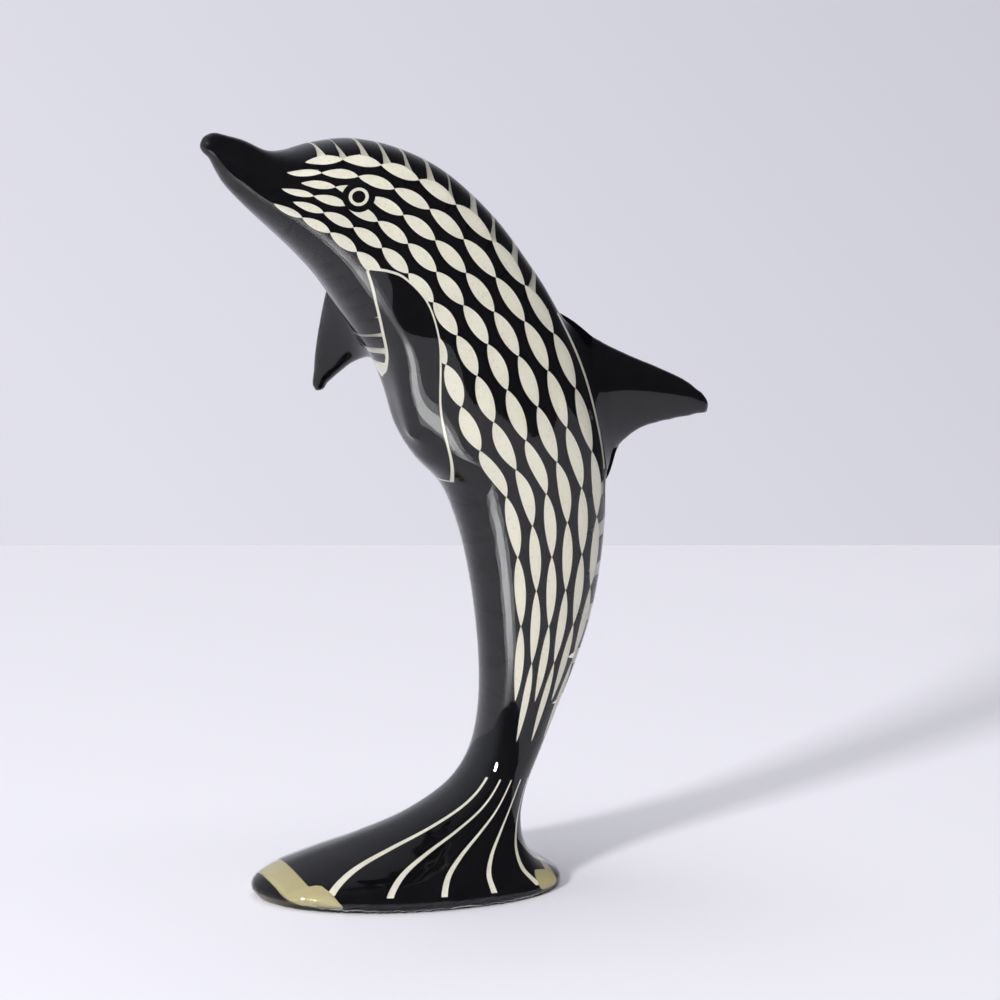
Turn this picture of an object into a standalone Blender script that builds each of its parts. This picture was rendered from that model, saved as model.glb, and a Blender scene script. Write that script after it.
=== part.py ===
"""Leaping dolphin, cast in one piece of resin and standing on its own tail.

Metres, +Z up. The figure faces -X, and the plane y = 0 divides it into mirror halves.
The origin is under the middle of the whole figure, on the plane that it stands on.
The outline is drawn on a figure DRAWN_HEIGHT units tall, so all of it follows HEIGHT.
"""

import math
from dataclasses import dataclass

import bmesh
import bpy
import numpy as np
from mathutils import Vector

HEIGHT = 0.201  # from the plane it stands on to the top of the beak
DRAWN_HEIGHT = 201.0  # units from the underside to the top of the beak in the outlines

BODY_RING_POINTS = 36
BODY_RINGS_PER_STATION = 2
BLADE_RING_POINTS = 22
BLADE_RINGS_PER_STATION = 3
DOME_RINGS = 4  # rings that round off the beak and the tips of the fins
SMOOTH_ANGLE = math.radians(40)

RESIN_COLOUR = (0.012, 0.012, 0.015, 1.0)
RESIN_ROUGHNESS = 0.06


@dataclass
class Section:
    """One closed cross-section: two ends, the half-width across them and how full it is."""

    front: Vector
    back: Vector
    side: Vector
    lean: float = 0.5  # share of the way from front to back at which it is widest
    front_power: float = 2.15  # 2 is an ellipse, less is more pointed
    back_power: float = 2.15

    def values(self):
        """Return the section as one row of numbers, for blending."""
        shape = (self.lean, self.front_power, self.back_power)
        return np.array([*self.front, *self.back, *self.side, *shape])

    @classmethod
    def from_values(cls, row):
        """Return the section that a row of numbers stands for."""
        return cls(Vector(row[0:3]), Vector(row[3:6]), Vector(row[6:9]), *row[9:12])

    def ring(self, count):
        """Return the section's outline as count points, from its back end round."""
        points = []
        for step in range(count):
            angle = 2 * math.pi * step / count
            along, across = math.cos(angle), math.sin(angle)
            power = self.back_power if along > 0 else self.front_power
            reach = (1 - self.lean) if along > 0 else self.lean
            place = self.lean + math.copysign(reach * abs(along) ** (2 / power), along)
            offset = math.copysign(abs(across) ** (2 / power), across)
            points.append(self.front.lerp(self.back, place) + self.side * offset)
        return points


def body_section(front, back, half_width, lean=0.5, front_power=2.15, back_power=2.15):
    """Return a section of the body from its belly and back points in the plane y = 0."""
    return Section(
        Vector((front[0], 0, front[1])),
        Vector((back[0], 0, back[1])),
        Vector((0, half_width, 0)),
        lean,
        front_power,
        back_power,
    )


# From the beak over the chest to the foot: belly point, back point and half-width.
BEAK_TIP = Vector((-67.6, 0, 199.3))
BODY = [
    body_section((-66.0, 195.2), (-62.8, 200.8), 2.9, 0.5, 2.0, 2.0),
    body_section((-62.2, 188.4), (-56.6, 198.8), 5.2, 0.5, 2.0, 2.0),
    body_section((-57.6, 183.2), (-50.6, 195.9), 7.4, 0.5, 2.0, 2.0),
    body_section((-53.0, 178.7), (-45.2, 195.6), 9.8),
    body_section((-48.2, 174.2), (-37.4, 197.1), 12.4),
    body_section((-42.8, 168.9), (-27.2, 197.5), 14.6),
    body_section((-36.9, 162.2), (-15.3, 194.5), 16.2),
    body_section((-31.4, 154.2), (-2.8, 187.8), 17.2),
    body_section((-26.4, 146.6), (9.9, 175.9), 17.8),
    body_section((-21.8, 139.8), (20.0, 162.5), 17.8),
    body_section((-18.4, 131.4), (28.2, 149.8), 17.4),
    body_section((-15.6, 122.2), (34.2, 137.0), 16.8),
    body_section((-10.6, 113.8), (38.6, 122.0), 16.1),
    body_section((-3.2, 105.6), (41.0, 108.0), 15.3),
    body_section((1.3, 95.0), (41.0, 95.0), 14.2),
    body_section((4.3, 83.0), (39.6, 81.0), 13.0),
    body_section((6.3, 70.0), (37.0, 68.5), 12.0),
    body_section((7.4, 57.0), (32.4, 55.5), 11.2),
    body_section((7.3, 45.5), (27.0, 43.5), 10.8),
    body_section((5.6, 35.5), (22.6, 33.8), 11.0),
    body_section((1.8, 28.2), (19.2, 26.2), 12.0, 0.5, 2.0, 2.1),
    body_section((-4.6, 22.8), (17.2, 20.3), 13.8, 0.54, 1.8, 2.2),
    body_section((-16.0, 17.6), (16.4, 15.0), 16.8, 0.62, 1.6, 2.3),
    body_section((-29.6, 13.6), (17.2, 10.4), 20.5, 0.62, 1.5, 2.4),
    body_section((-42.6, 10.2), (19.8, 6.4), 24.4, 0.6, 1.55, 2.5),
    body_section((-52.0, 6.6), (24.0, 3.6), 27.4, 0.58, 1.75, 2.5),
    body_section((-55.8, 3.0), (26.6, 1.7), 28.6, 0.57, 1.9, 2.5),
    body_section((-53.8, 0.0), (26.0, 0.0), 27.9, 0.57, 1.9, 2.5),
]


def fin_section(lead, trail, half_thickness):
    """Return a section of the dorsal fin from its edges in the plane y = 0."""
    return Section(
        Vector((lead[0], 0, lead[1])),
        Vector((trail[0], 0, trail[1])),
        Vector((0, half_thickness, 0)),
        lean=0.42,
        front_power=2.0,
        back_power=1.7,
    )


# The dorsal fin from inside the back to near its tip.
FIN_TIP = Vector((70.9, 0, 121.4))
DORSAL_FIN = [
    fin_section((68.4, 125.4), (69.2, 119.4), 1.8),
    fin_section((64.0, 128.8), (64.8, 118.8), 2.5),
    fin_section((56.6, 132.6), (58.0, 118.0), 3.3),
    fin_section((47.6, 136.8), (51.4, 116.4), 4.2),
    fin_section((39.6, 141.2), (45.8, 112.2), 5.2),
    fin_section((32.4, 147.0), (42.4, 103.6), 6.4),
    fin_section((24.0, 152.0), (36.0, 98.0), 5.0),
]


def flipper_section(lead, trail, side):
    """Return a section of a flipper; side is half its thickness as a vector."""
    return Section(Vector(lead), Vector(trail), Vector(side), 0.45, 2.0, 1.9)


# The near flipper from its tip to inside the flank. It lies close along the flank.
NEAR_FLIPPER_TIP = Vector((-14.6, -7.0, 119.0))
NEAR_FLIPPER = [
    flipper_section((-15.8, -6.5, 122.0), (-8.6, -8.5, 122.0), (-0.3, -1.6, 0.0)),
    flipper_section((-17.2, -6.5, 125.9), (-5.1, -9.5, 125.6), (-0.5, -2.6, 0.0)),
    flipper_section((-18.7, -7.0, 131.3), (-3.3, -11.0, 130.9), (-0.7, -3.6, 0.0)),
    flipper_section((-20.3, -8.0, 138.6), (-2.9, -12.0, 138.0), (-0.8, -4.4, 0.0)),
    flipper_section((-22.1, -9.5, 145.7), (-3.7, -12.5, 144.9), (-0.8, -5.4, 0.0)),
    flipper_section((-23.6, -11.0, 152.4), (-5.5, -13.0, 151.6), (-0.5, -5.2, -0.1)),
    flipper_section((-24.8, -12.0, 157.8), (-9.6, -12.5, 156.9), (-0.1, -3.4, -0.1)),
    flipper_section((-26.3, -12.5, 162.4), (-18.3, -12.5, 161.9), (0.0, -1.4, 0.0)),
]

# The far flipper from its tip to inside the flank. It stands out from the flank.
FAR_FLIPPER_TIP = Vector((-28.3, 27.0, 127.6))
FAR_FLIPPER = [
    flipper_section((-29.1, 25.9, 132.5), (-26.1, 25.5, 129.1), (1.3, 1.1, 0.6)),
    flipper_section((-28.9, 24.6, 138.6), (-23.3, 23.0, 132.6), (2.4, 1.9, 1.0)),
    flipper_section((-27.8, 22.8, 147.7), (-19.6, 20.0, 136.1), (3.8, 2.6, 1.4)),
    flipper_section((-26.2, 20.2, 157.3), (-15.6, 17.0, 137.3), (5.6, 3.0, 1.8)),
    flipper_section((-24.4, 17.2, 166.4), (-11.0, 13.2, 135.0), (7.4, 2.8, 2.4)),
    flipper_section((-19.0, 9.0, 166.0), (-8.0, 7.0, 133.0), (7.0, 1.6, 2.4)),
]


def blended(sections, steps):
    """Return sections with steps from each one to the next, on a curve through them all."""
    rows = [s.values() for s in sections]
    rows = [2 * rows[0] - rows[1], *rows, 2 * rows[-1] - rows[-2]]
    result = []
    for before, start, end, after in zip(rows, rows[1:], rows[2:], rows[3:]):
        for step in range(steps):
            t = step / steps
            bend = 2 * before - 5 * start + 4 * end - after
            twist = 3 * start - before - 3 * end + after
            row = start + 0.5 * t * ((end - before) + t * (bend + t * twist))
            result.append(Section.from_values(row))
    return [*result, sections[-1]]


def domed(tip, ring):
    """Return rings that close the ring with a round end at the tip, from the tip on."""
    centre = sum(ring, Vector()) / len(ring)
    rings = []
    for step in range(1, DOME_RINGS):
        angle = 0.5 * math.pi * step / DOME_RINGS
        middle = centre + (tip - centre) * math.cos(angle)
        rings.append([middle + (point - centre) * math.sin(angle) for point in ring])
    return rings


def placed(point):
    """Return a drawn point as metres from the origin, midway between beak and fin tip."""
    middle = Vector(((BEAK_TIP.x + FIN_TIP.x) / 2, 0, 0))
    return (point - middle) * (HEIGHT / DRAWN_HEIGHT)


def lofted(name, tip, sections, ring_points, steps, material):
    """Build a closed object through the sections, round at the tip and flat at the end."""
    rings = [s.ring(ring_points) for s in blended(sections, steps)]
    rings = domed(tip, rings[0]) + rings
    mesh_data = bmesh.new()
    tip_vertex = mesh_data.verts.new(placed(tip))
    loops = [[mesh_data.verts.new(placed(point)) for point in ring] for ring in rings]
    for index in range(ring_points):
        following = (index + 1) % ring_points
        mesh_data.faces.new((tip_vertex, loops[0][index], loops[0][following]))
        for upper, lower in zip(loops, loops[1:]):
            corners = (upper[index], lower[index], lower[following], upper[following])
            mesh_data.faces.new(corners)
    mesh_data.faces.new(loops[-1])
    bmesh.ops.recalc_face_normals(mesh_data, faces=mesh_data.faces)
    mesh = bpy.data.meshes.new(name)
    mesh_data.to_mesh(mesh)
    mesh_data.free()
    mesh.shade_smooth()
    mesh.set_sharp_from_angle(angle=SMOOTH_ANGLE)
    mesh.materials.append(material)
    piece = bpy.data.objects.new(name, mesh)
    bpy.context.collection.objects.link(piece)
    return piece


def resin_material():
    """Return the glossy dark resin that the figure is cast in."""
    material = bpy.data.materials.new("cast_resin")
    material.use_nodes = True
    shader = material.node_tree.nodes["Principled BSDF"]
    shader.inputs["Base Color"].default_value = RESIN_COLOUR
    shader.inputs["Roughness"].default_value = RESIN_ROUGHNESS
    shader.inputs["Metallic"].default_value = 0.0
    return material


def fuse(body, blade):
    """Join a blade to the body, and leave the blade itself as a guide that isn't built."""
    union = body.modifiers.new(f"union_{blade.name}", "BOOLEAN")
    union.operation = "UNION"
    union.solver = "EXACT"
    union.object = blade
    blade.hide_render = True
    blade.display_type = "WIRE"


def build():
    """Build the dolphin as one closed solid."""
    for thing in list(bpy.data.objects):
        bpy.data.objects.remove(thing, do_unlink=True)
    resin = resin_material()
    body = lofted("dolphin", BEAK_TIP, BODY, BODY_RING_POINTS, BODY_RINGS_PER_STATION, resin)
    blades = [
        ("dorsal_fin_form", FIN_TIP, DORSAL_FIN),
        ("near_flipper_form", NEAR_FLIPPER_TIP, NEAR_FLIPPER),
        ("far_flipper_form", FAR_FLIPPER_TIP, FAR_FLIPPER),
    ]
    for name, tip, sections in blades:
        blade = lofted(name, tip, sections, BLADE_RING_POINTS, BLADE_RINGS_PER_STATION, resin)
        fuse(body, blade)


build()
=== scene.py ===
"""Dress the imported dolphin: a clear cast figure with coloured layers sealed in it.

Metres, +Z up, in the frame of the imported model. The figure faces -X and y = 0 halves it.
The forms are drawn in millimetres on the same sections that the solid is made from.
"""

import logging
import math
from collections.abc import Mapping, Sequence
from dataclasses import dataclass, field
from enum import Enum

import bmesh
import bpy
import numpy as np
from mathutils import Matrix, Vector
from mathutils.bvhtree import BVHTree


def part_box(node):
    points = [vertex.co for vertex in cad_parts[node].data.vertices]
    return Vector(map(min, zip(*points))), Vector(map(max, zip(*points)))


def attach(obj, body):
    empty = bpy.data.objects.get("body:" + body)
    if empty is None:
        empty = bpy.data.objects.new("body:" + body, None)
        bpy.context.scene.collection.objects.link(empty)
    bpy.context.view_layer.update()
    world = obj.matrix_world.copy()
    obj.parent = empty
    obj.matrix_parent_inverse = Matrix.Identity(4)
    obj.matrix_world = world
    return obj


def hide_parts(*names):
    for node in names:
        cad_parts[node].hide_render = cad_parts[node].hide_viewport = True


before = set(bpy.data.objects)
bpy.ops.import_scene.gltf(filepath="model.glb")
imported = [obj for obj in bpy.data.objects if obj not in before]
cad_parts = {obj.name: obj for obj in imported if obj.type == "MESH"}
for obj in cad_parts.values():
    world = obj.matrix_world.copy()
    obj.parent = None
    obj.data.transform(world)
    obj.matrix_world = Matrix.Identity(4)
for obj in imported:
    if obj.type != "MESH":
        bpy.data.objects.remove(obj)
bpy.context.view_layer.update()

CAD_NODE = "dolphin"
CAD_BODY = "root"

MM = 0.001
MIDDLE_X = 1.65  # drawn x, in mm, of the point midway between the beak and the fin tip
LOG = logging.getLogger("dolphin")
MERGE_DISTANCE = 0.00001
SHARP_ANGLE = math.radians(35)

Array = np.ndarray


class Slot(Enum):
    """The record's material slots."""

    CLEAR = "clear_resin"
    BLACK = "black_resin"
    IVORY = "ivory_resin"


class Depth(Enum):
    """How far under the cast surface each layer lies, in mm."""

    CORE = 0.62
    BLADE_CORE = 0.30
    MOTIF = 0.50
    OUTLINE = 0.44
    PATCH = 0.38
    EYE_RING = 0.33
    PUPIL = 0.28


class Wire:
    """A node socket that Python's operators work on, by adding Math nodes."""

    def __init__(self, kit: "NodeKit", socket: bpy.types.NodeSocket) -> None:
        self.kit = kit
        self.socket = socket

    def _math(self, operation: str, first: object, second: object) -> "Wire":
        """Return a Math node of two values."""
        settings = {"operation": operation}
        return self.kit.add("ShaderNodeMath", settings, {0: first, 1: second})

    def __add__(self, other: object) -> "Wire":
        """Return self + other."""
        return self._math("ADD", self, other)

    def __radd__(self, other: object) -> "Wire":
        """Return other + self."""
        return self._math("ADD", other, self)

    def __sub__(self, other: object) -> "Wire":
        """Return self - other."""
        return self._math("SUBTRACT", self, other)

    def __rsub__(self, other: object) -> "Wire":
        """Return other - self."""
        return self._math("SUBTRACT", other, self)

    def __mul__(self, other: object) -> "Wire":
        """Return self * other."""
        return self._math("MULTIPLY", self, other)

    def __rmul__(self, other: object) -> "Wire":
        """Return other * self."""
        return self._math("MULTIPLY", other, self)

    def __truediv__(self, other: object) -> "Wire":
        """Return self / other."""
        return self._math("DIVIDE", self, other)

    def __rtruediv__(self, other: object) -> "Wire":
        """Return other / self."""
        return self._math("DIVIDE", other, self)

    def __pow__(self, other: object) -> "Wire":
        """Return self to the power other."""
        return self._math("POWER", self, other)

    def __rpow__(self, other: object) -> "Wire":
        """Return other to the power self."""
        return self._math("POWER", other, self)

    def __mod__(self, other: object) -> "Wire":
        """Return the remainder of self by other."""
        return self._math("FLOORED_MODULO", self, other)

    def floor(self) -> "Wire":
        """Return self rounded down."""
        return self._math("FLOOR", self, 0.0)

    def at_least(self, other: object) -> "Wire":
        """Return the larger of self and other."""
        return self._math("MAXIMUM", self, other)


class NodeKit:
    """Builds nodes in one tree, each by a single call."""

    def __init__(self, tree: bpy.types.NodeTree) -> None:
        """Keep the tree."""
        self.tree = tree

    def node(
        self,
        kind: str,
        settings: Mapping[str, object] | None = None,
        values: Mapping[int | str, object] | None = None,
    ) -> bpy.types.Node:
        """Add a node, set it up and fill its sockets.

        Args:
            kind: The node's type.
            settings: Its properties, set first.
            values: A value or a Wire for each socket, by its index or identifier.

        Returns:
            The node.
        """
        node = self.tree.nodes.new(kind)
        for name, value in (settings or {}).items():
            setattr(node, name, value)
        for key, value in (values or {}).items():
            socket = self._socket(node, key)
            if isinstance(value, Wire):
                self.tree.links.new(value.socket, socket)
            else:
                socket.default_value = value
        return node

    def add(
        self,
        kind: str,
        settings: Mapping[str, object] | None = None,
        values: Mapping[int | str, object] | None = None,
        output: int | str = 0,
    ) -> Wire:
        """Add a node as node() does.

        Args:
            kind: The node's type.
            settings: Its properties.
            values: What goes into its sockets.
            output: The index or identifier of the output that is wanted.

        Returns:
            That output as a Wire.
        """
        node = self.node(kind, settings, values)
        outputs = node.outputs
        if isinstance(output, int):
            return Wire(self, outputs[output])
        return Wire(self, next(s for s in outputs if s.identifier == output))

    @staticmethod
    def _socket(node: bpy.types.Node, key: int | str) -> bpy.types.NodeSocket:
        """Return the node's input with this index or identifier."""
        if isinstance(key, int):
            return node.inputs[key]
        return next(s for s in node.inputs if s.identifier == key)

    def blend(self, share: object, low: object, high: object) -> Wire:
        """Return the mix of two colours by a share."""
        values = {"Factor_Float": share, "A_Color": low, "B_Color": high}
        return self.add("ShaderNodeMix", {"data_type": "RGBA"}, values, "Result_Color")

    def noise(self, where: Wire, per_metre: float, detail: float) -> Wire:
        """Return noise in object space with so many features to the metre."""
        values = {"Vector": where, "Scale": per_metre, "Detail": detail}
        return self.add("ShaderNodeTexNoise", {"noise_dimensions": "3D"}, values)


def rgba(red: float, green: float, blue: float) -> tuple[float, float, float, float]:
    """Return an opaque linear colour."""
    return (red, green, blue, 1.0)


@dataclass(frozen=True)
class SealedFinish:
    """Pigmented resin that lies under the clear casting, so it has no gloss of its own.

    Soft clouds shift its colour and roughness, and small flecks show where their noise
    rises over a threshold.
    """

    name: str
    colour: tuple[float, float, float, float]
    cloud_colour: tuple[float, float, float, float]
    fleck_colour: tuple[float, float, float, float]
    clouds_per_metre: float
    flecks_per_metre: float
    fleck_share: float
    roughness: float
    fleck_threshold: float = 0.56
    fleck_contrast: float = 9.0
    cloud_roughness: float = 0.12

    def build(self) -> bpy.types.Material:
        """Return the material."""
        material = bpy.data.materials.new(self.name)
        material.use_nodes = True
        kit = NodeKit(material.node_tree)
        shader = material.node_tree.nodes["Principled BSDF"]
        where = kit.add("ShaderNodeTexCoord", output="Object")
        clouds = kit.noise(where, self.clouds_per_metre, 3.0)
        flecks = kit.noise(where, self.flecks_per_metre, 2.0)
        over = ((flecks - self.fleck_threshold) * self.fleck_contrast).at_least(0.0)
        speckle = over * self.fleck_share
        clouded = kit.blend(clouds, self.colour, self.cloud_colour)
        colour = kit.blend(speckle, clouded, self.fleck_colour)
        roughness = clouds * self.cloud_roughness + self.roughness
        kit.tree.links.new(colour.socket, shader.inputs["Base Color"])
        kit.tree.links.new(roughness.socket, shader.inputs["Roughness"])
        shader.inputs["Specular IOR Level"].default_value = 0.0
        return material


@dataclass(frozen=True)
class ClearFinish:
    """Clear cast resin, polished by hand and slightly yellow."""

    name: str
    colour: tuple[float, float, float, float]
    warm_colour: tuple[float, float, float, float]
    ior: float
    roughness: float
    haze: float
    clouds_per_metre: float = 40.0

    def build(self) -> bpy.types.Material:
        """Return the material."""
        material = bpy.data.materials.new(self.name)
        material.use_nodes = True
        kit = NodeKit(material.node_tree)
        shader = material.node_tree.nodes["Principled BSDF"]
        where = kit.add("ShaderNodeTexCoord", output="Object")
        clouds = kit.noise(where, self.clouds_per_metre, 2.0)
        colour = kit.blend(clouds, self.colour, self.warm_colour)
        roughness = clouds * self.haze + self.roughness
        kit.tree.links.new(colour.socket, shader.inputs["Base Color"])
        kit.tree.links.new(roughness.socket, shader.inputs["Roughness"])
        shader.inputs["Transmission Weight"].default_value = 1.0
        shader.inputs["IOR"].default_value = self.ior
        return material


@dataclass(frozen=True)
class FloorFinish:
    """Matt white paint."""

    name: str
    colour: tuple[float, float, float, float]
    shade: tuple[float, float, float, float]
    clouds_per_metre: float = 3.0
    roughness: float = 0.75
    specular: float = 0.15

    def build(self) -> bpy.types.Material:
        """Return the material."""
        material = bpy.data.materials.new(self.name)
        material.use_nodes = True
        kit = NodeKit(material.node_tree)
        shader = material.node_tree.nodes["Principled BSDF"]
        where = kit.add("ShaderNodeTexCoord", output="Object")
        clouds = kit.noise(where, self.clouds_per_metre, 2.0)
        colour = kit.blend(clouds, self.colour, self.shade)
        kit.tree.links.new(colour.socket, shader.inputs["Base Color"])
        shader.inputs["Roughness"].default_value = self.roughness
        shader.inputs["Specular IOR Level"].default_value = self.specular
        return material


CLEAR = ClearFinish(
    name="clear_cast_resin",
    colour=rgba(0.985, 0.975, 0.925),
    warm_colour=rgba(0.975, 0.955, 0.86),
    ior=1.49,
    roughness=0.012,
    haze=0.03,
)
BLACK = SealedFinish(
    name="black_inlay_resin",
    colour=rgba(0.0035, 0.0035, 0.0045),
    cloud_colour=rgba(0.007, 0.007, 0.0095),
    fleck_colour=rgba(0.012, 0.012, 0.015),
    clouds_per_metre=60.0,
    flecks_per_metre=300.0,
    fleck_share=0.1,
    roughness=0.4,
)
IVORY = SealedFinish(
    name="ivory_inlay_resin",
    colour=rgba(0.90, 0.89, 0.82),
    cloud_colour=rgba(0.86, 0.84, 0.75),
    fleck_colour=rgba(0.60, 0.52, 0.36),
    clouds_per_metre=90.0,
    flecks_per_metre=1100.0,
    fleck_share=0.18,
    roughness=0.5,
)
AMBER = SealedFinish(
    name="amber_edge_resin",
    colour=rgba(0.44, 0.42, 0.29),
    cloud_colour=rgba(0.60, 0.52, 0.28),
    fleck_colour=rgba(0.42, 0.34, 0.16),
    clouds_per_metre=120.0,
    flecks_per_metre=900.0,
    fleck_share=0.2,
    roughness=0.5,
)
FLOOR = FloorFinish(
    name="white_floor_paint",
    colour=rgba(0.86, 0.85, 0.91),
    shade=rgba(0.84, 0.83, 0.89),
)


def smooth_steps(rows: Array, places: Array) -> Array:
    """Return rows of numbers blended on a curve that passes through them all.

    Args:
        rows: One row for each station.
        places: Where to blend, in stations from the first row.

    Returns:
        One blended row for each place.
    """
    ends = np.vstack([2 * rows[0] - rows[1], rows, 2 * rows[-1] - rows[-2]])
    index = np.clip(np.floor(places).astype(int), 0, len(rows) - 2)
    t = (places - index)[..., None]
    before, start = ends[index], ends[index + 1]
    end, after = ends[index + 2], ends[index + 3]
    bend = 2 * before - 5 * start + 4 * end - after
    twist = 3 * start - before - 3 * end + after
    return start + 0.5 * t * ((end - before) + t * (bend + t * twist))


def placed(points: Array) -> Array:
    """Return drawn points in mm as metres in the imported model's frame."""
    return (np.asarray(points, dtype=float) - (MIDDLE_X, 0.0, 0.0)) * MM


def link_piece(name: str, mesh: bpy.types.Mesh) -> bpy.types.Object:
    """Return a new object in the scene that holds the mesh."""
    piece = bpy.data.objects.new(name, mesh)
    bpy.context.scene.collection.objects.link(piece)
    return piece


def closed_mesh(name: str, points: Array, faces: Sequence[Sequence[int]]) -> bpy.types.Mesh:
    """Return a mesh with doubles merged, faces outwards and smooth rounded sides.

    Args:
        name: The mesh's name.
        points: Drawn points in mm.
        faces: Indices of the points of each face.

    Returns:
        The mesh, in metres.
    """
    mesh = bpy.data.meshes.new(name)
    mesh.from_pydata(placed(points).tolist(), [], [list(map(int, f)) for f in faces])
    return tidied(mesh)


def tidied(mesh: bpy.types.Mesh) -> bpy.types.Mesh:
    """Merge a mesh's doubles, turn its faces outwards and smooth its rounded sides."""
    work = bmesh.new()
    work.from_mesh(mesh)
    bmesh.ops.remove_doubles(work, verts=work.verts, dist=MERGE_DISTANCE)
    bmesh.ops.dissolve_degenerate(work, edges=work.edges, dist=MERGE_DISTANCE / 2)
    bmesh.ops.recalc_face_normals(work, faces=work.faces)
    work.to_mesh(mesh)
    work.free()
    mesh.shade_smooth()
    mesh.set_sharp_from_angle(angle=SHARP_ANGLE)
    return mesh


def loft_faces(rings: int, count: int) -> list[tuple[int, ...]]:
    """Return the faces of a tube of closed rings, with both ends capped."""
    faces = []
    for ring in range(rings - 1):
        for index in range(count):
            after = (index + 1) % count
            here, there = ring * count, (ring + 1) * count
            faces.append((here + index, here + after, there + after, there + index))
    faces.append(tuple(range(count)))
    faces.append(tuple(range((rings - 1) * count, rings * count)))
    return faces


def domed(tip: Array, ring: Array, count: int) -> list[Array]:
    """Return rings that close a ring with a round end at the tip, from the tip on."""
    centre = ring.mean(axis=0)
    rings = []
    for step in range(count):
        angle = 0.5 * math.pi * (step + 0.02) / count
        middle = centre + (tip - centre) * math.cos(angle)
        rings.append(middle + (ring - centre) * math.sin(angle))
    return rings


@dataclass(frozen=True)
class Section:
    """One section of the body: its ends in the plane y = 0 and its half-width."""

    front: tuple[float, float]
    back: tuple[float, float]
    half_width: float
    lean: float = 0.5
    front_power: float = 2.15
    back_power: float = 2.15

    def row(self) -> list[float]:
        """Return the section as one row of numbers."""
        shape = (self.half_width, self.lean, self.front_power, self.back_power)
        return [*self.front, *self.back, *shape]


BEAK_TIP = (-67.6, 0.0, 199.3)
BODY_SECTIONS = (
    Section((-66.0, 195.2), (-62.8, 200.8), 2.9, 0.5, 2.0, 2.0),
    Section((-62.2, 188.4), (-56.6, 198.8), 5.2, 0.5, 2.0, 2.0),
    Section((-57.6, 183.2), (-50.6, 195.9), 7.4, 0.5, 2.0, 2.0),
    Section((-53.0, 178.7), (-45.2, 195.6), 9.8),
    Section((-48.2, 174.2), (-37.4, 197.1), 12.4),
    Section((-42.8, 168.9), (-27.2, 197.5), 14.6),
    Section((-36.9, 162.2), (-15.3, 194.5), 16.2),
    Section((-31.4, 154.2), (-2.8, 187.8), 17.2),
    Section((-26.4, 146.6), (9.9, 175.9), 17.8),
    Section((-21.8, 139.8), (20.0, 162.5), 17.8),
    Section((-18.4, 131.4), (28.2, 149.8), 17.4),
    Section((-15.6, 122.2), (34.2, 137.0), 16.8),
    Section((-10.6, 113.8), (38.6, 122.0), 16.1),
    Section((-3.2, 105.6), (41.0, 108.0), 15.3),
    Section((1.3, 95.0), (41.0, 95.0), 14.2),
    Section((4.3, 83.0), (39.6, 81.0), 13.0),
    Section((6.3, 70.0), (37.0, 68.5), 12.0),
    Section((7.4, 57.0), (32.4, 55.5), 11.2),
    Section((7.3, 45.5), (27.0, 43.5), 10.8),
    Section((5.6, 35.5), (22.6, 33.8), 11.0),
    Section((1.8, 28.2), (19.2, 26.2), 12.0, 0.5, 2.0, 2.1),
    Section((-4.6, 22.8), (17.2, 20.3), 13.8, 0.54, 1.8, 2.2),
    Section((-16.0, 17.6), (16.4, 15.0), 16.8, 0.62, 1.6, 2.3),
    Section((-29.6, 13.6), (17.2, 10.4), 20.5, 0.62, 1.5, 2.4),
    Section((-42.6, 10.2), (19.8, 6.4), 24.4, 0.6, 1.55, 2.5),
    Section((-52.0, 6.6), (24.0, 3.6), 27.4, 0.58, 1.75, 2.5),
    Section((-55.8, 3.0), (26.6, 1.7), 28.6, 0.57, 1.9, 2.5),
    Section((-53.8, 0.0), (26.0, 0.0), 27.9, 0.57, 1.9, 2.5),
)


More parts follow.
